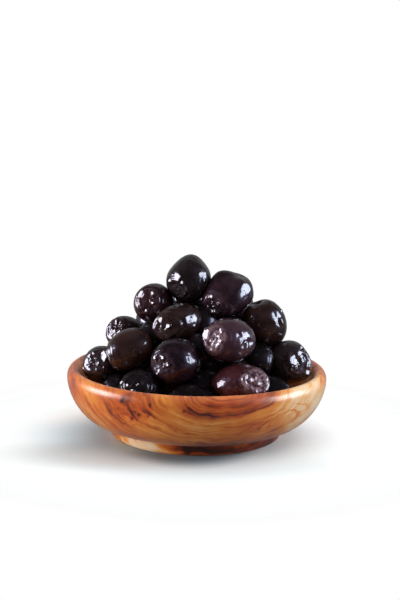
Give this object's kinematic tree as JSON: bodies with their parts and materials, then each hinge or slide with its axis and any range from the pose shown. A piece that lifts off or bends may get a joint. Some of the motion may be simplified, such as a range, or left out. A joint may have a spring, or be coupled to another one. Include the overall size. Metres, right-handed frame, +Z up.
{
  "type": "dish of olives",
  "caption": "Small round turned olive-wood bowl on a low foot, heaped above its rim with plump, glossy, wrinkled black olives.",
  "frame": {"origin": "centre of the flat underside of the bowl's foot", "axes": "+Z up along the bowl's axis, +Y away from the viewer who sees the shown side, +X to that viewer's right"},
  "size_m": [0.12, 0.12, 0.0833],
  "materials": {
    "olive_wood": "oiled, satin, with swirling dark grain",
    "olive_skin": null
  },
  "bodies": {
    "root": {"bowl": "olive_wood", "olives": "olive_skin"}
  },
  "joints": []
}
